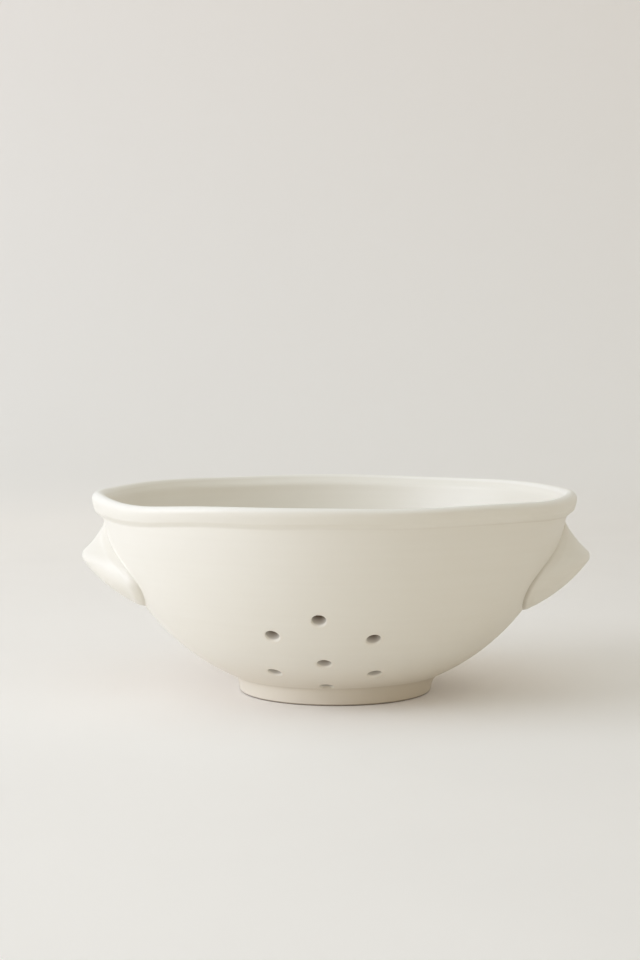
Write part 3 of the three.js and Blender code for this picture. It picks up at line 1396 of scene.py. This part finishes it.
@dataclass(frozen=True)
class BowlGlaze(Glaze):
    """The bowl's glaze, with painted shade: darker towards the bottom inside, and near black deep
    in the holes' bores.
    """

    name: str = "bowl_glaze"
    painted_shade: Colour = DEEP_PAINTED_SHADE
    # painted shade: near-black colour laid deep in the holes' bores
    clay: Colour = (0.115, 0.070, 0.042)


@dataclass(frozen=True)
class RimGlaze(Glaze):
    """The rim's glaze: its edge colour is near white, a painted highlight over the top of the
    rounded edge.
    """

    name: str = "rim_glaze"
    thin_glaze_and_painted_light: Colour = (0.985, 0.975, 0.945)


@dataclass(frozen=True)
class FootGlaze(Glaze):
    """The foot's glaze: a thinner, duller coat; part of its darkness is painted shade under the
    bowl's belly.
    """

    name: str = "foot_glaze"
    # darker than the bowl's glaze, partly painted shade under the belly
    white: Colour = (0.785, 0.735, 0.637)
    shade: Colour = (0.750, 0.696, 0.597)


@dataclass(frozen=True)
class LugGlaze(Glaze):
    """The lugs' glaze: painted shade lies along their seams, over clay marked by the fingers."""

    name: str = "lug_glaze"
    painted_shade: Colour = DEEP_PAINTED_SHADE
    relief: float = 0.10 * MM


@dataclass(frozen=True)
class Plaster:
    """The pale finish of the stage: a table, and a backdrop a little greyer.

    The camera sees it paler than the light that it throws back on the colander.
    """

    name: str = "pale_plaster"
    table: Colour = (0.945, 0.915, 0.890)
    backdrop: Colour = (0.825, 0.808, 0.790)
    bounce: Colour = (0.915, 0.880, 0.825)
    glow: Colour = (0.045, 0.045, 0.045)
    # painted shadow: the table darkens towards the right, over this range of X
    painted_shadow_dim: float = 0.84
    painted_shadow_side: Spot = (-0.08, 0.24)
    cloud_scale: float = 9.0
    cloud_detail: float = 4.0
    cloud_share: float = 0.35
    table_end: Spot = (0.62, 0.80)
    roughness: float = 0.8

    def material(self) -> bpy.types.Material:
        """Makes the stage's material.

        Returns:
            The material.
        """
        material = bpy.data.materials.new(self.name)
        recipe = Recipe(material)
        place = recipe.node("ShaderNodeTexCoord", {}, {}, "Object")
        cloud = self.cloud_share * recipe.noise(place, self.cloud_scale, self.cloud_detail)
        # random tone plus painted shadow that darkens the table towards the right
        tone_and_painted_shadow = (cloud + (1 - self.cloud_share) * place.axis("X").eased(*self.painted_shadow_side)).clamped()
        far = place.axis("Y").eased(*self.table_end)
        light = recipe.mix(far, opaque(self.table), opaque(self.backdrop))
        dark = recipe.mix(far, opaque(self.shadowed_colour(self.table)), opaque(self.backdrop))
        seen = recipe.seen()
        colour = recipe.mix(seen, opaque(self.bounce), recipe.mix(tone_and_painted_shadow, light, dark))
        glow = recipe.mix(seen, opaque(BLACK), opaque(self.glow))
        recipe.surface(colour, self.roughness, {"Emission Color": glow, "Emission Strength": 1.0})
        return material

    def shadowed_colour(self, colour: Colour) -> Colour:
        """The colour in the painted shadow."""
        return tuple(self.painted_shadow_dim * channel for channel in colour)


@dataclass(frozen=True)
class Stage:
    """A pale table that bends up into a backdrop."""

    half_width: float = 3.0
    near: float = -2.5
    bend: float = 0.62
    bend_radius: float = 0.5
    top: float = 3.0
    steps: int = 24

    def build(self) -> bpy.types.Object:
        """Makes and dresses the stage's mesh object.

        Returns:
            The object, in the scene.
        """
        middle = (self.bend, self.bend_radius)
        curve = arc(middle, self.bend_radius, DOWNWARDS, OUTWARDS, self.steps)
        upper_end = (self.bend + self.bend_radius, self.top)
        profile = [(self.near, 0.0), *curve, upper_end]
        work = bmesh.new()
        sides = []
        for x in (-self.half_width, self.half_width):
            sides.append([work.verts.new((x, y, z)) for y, z in profile])
        left, right = sides
        for i in range(len(profile) - 1):
            work.faces.new((left[i], right[i], right[i + 1], left[i + 1])).smooth = True
        mesh = bpy.data.meshes.new("stage")
        work.to_mesh(mesh)
        work.free()
        stage = bpy.data.objects.new("stage", mesh)
        bpy.context.scene.collection.objects.link(stage)
        self.dress(stage)
        return stage

    @staticmethod
    def dress(stage: bpy.types.Object) -> None:
        """Gives the stage its finish."""
        stage.data.materials.append(Plaster().material())


@dataclass(frozen=True)
class Lamp:
    """A soft square lamp aimed at the colander."""

    name: str
    place: Place
    side: float
    power: float
    colour: Colour
    aim: Place = (0.0, 0.0, 0.04)

    def build(self) -> bpy.types.Object:
        """Makes the lamp.

        Returns:
            The object, in the scene.
        """
        light = bpy.data.lights.new(self.name, "AREA")
        light.size = self.side
        light.energy = self.power
        light.color = self.colour
        lamp = bpy.data.objects.new(self.name, light)
        lamp.location = self.place
        beam = Vector(self.aim) - Vector(self.place)
        lamp.rotation_euler = beam.to_track_quat("-Z", "Y").to_euler()
        lamp.visible_camera = False
        bpy.context.scene.collection.objects.link(lamp)
        return lamp


@dataclass(frozen=True)
class Studio:
    """Soft cool light from a window at the left, in a warm room with a dim ceiling."""

    window: Lamp = Lamp(
        name="window",
        place=(-1.5, -0.5, 0.45),
        side=1.4,
        power=21.4,
        colour=(0.795, 0.862, 1.0),
    )
    walls: Colour = (0.395, 0.270, 0.155)
    ceiling: Colour = (0.800, 0.872, 0.855)
    shown: Colour = (0.740, 0.725, 0.705)

    def build(self) -> None:
        """Makes the window and the room, which looks plain and pale where the stage ends."""
        self.window.build()
        room = bpy.data.worlds.new("pale_room")
        recipe = Recipe(room)
        way = recipe.node("ShaderNodeTexCoord", {}, {}, "Generated")
        lit = recipe.mix(way.axis("Z").clamped(), opaque(self.walls), opaque(self.ceiling))
        colour = recipe.mix(recipe.seen(), lit, opaque(self.shown))
        light = recipe.node("ShaderNodeBackground", {}, {"Color": colour})
        recipe.node("ShaderNodeOutputWorld", {}, {"Surface": light})
        bpy.context.scene.world = room
        bpy.context.scene.view_settings.view_transform = "Standard"


@dataclass(frozen=True)
class Viewpoint:
    """The camera, in front and a little above the lip, turned slightly to the side."""

    place: Place = (11.7 * MM, -654.2 * MM, 118.7 * MM)
    turn: float = math.radians(1.5)
    tilt: float = math.radians(3.88)
    focal_pixels: float = 1850.0
    picture_pixels: float = 960.0
    sensor: float = 36.0

    def build(self) -> bpy.types.Object:
        """Makes the camera and hands it to the scene.

        Returns:
            The object, in the scene.
        """
        camera = bpy.data.cameras.new("photo_view")
        camera.sensor_width = self.sensor
        camera.lens = self.focal_pixels / self.picture_pixels * self.sensor
        view = bpy.data.objects.new("photo_view", camera)
        view.location = self.place
        view.rotation_euler = (math.pi / 2 - self.tilt, 0, self.turn)
        bpy.context.scene.collection.objects.link(view)
        bpy.context.scene.camera = view
        return view


def main() -> None:
    """Builds the colander, the stage, the light and the camera."""
    logging.basicConfig(level=logging.INFO, format="%(name)s: %(message)s")
    Viewpoint().build()
    clay = {"wall": Wall(), "hand": HandWork()}
    lug_glaze = LugGlaze().material()
    pieces = (
        Bowl(part=Part.BOWL, finish=BowlGlaze().material(), **clay),
        Rim(part=Part.RIM, finish=RimGlaze().material(), **clay),
        Foot(part=Part.FOOT, finish=FootGlaze().material(), **clay),
        LeftLug(part=Part.LEFT_LUG, finish=lug_glaze, **clay),
        RightLug(part=Part.RIGHT_LUG, finish=lug_glaze, **clay),
    )
    for piece in pieces:
        piece.make()
    Stage().build()
    Studio().build()


if __name__ == "__main__":
    main()
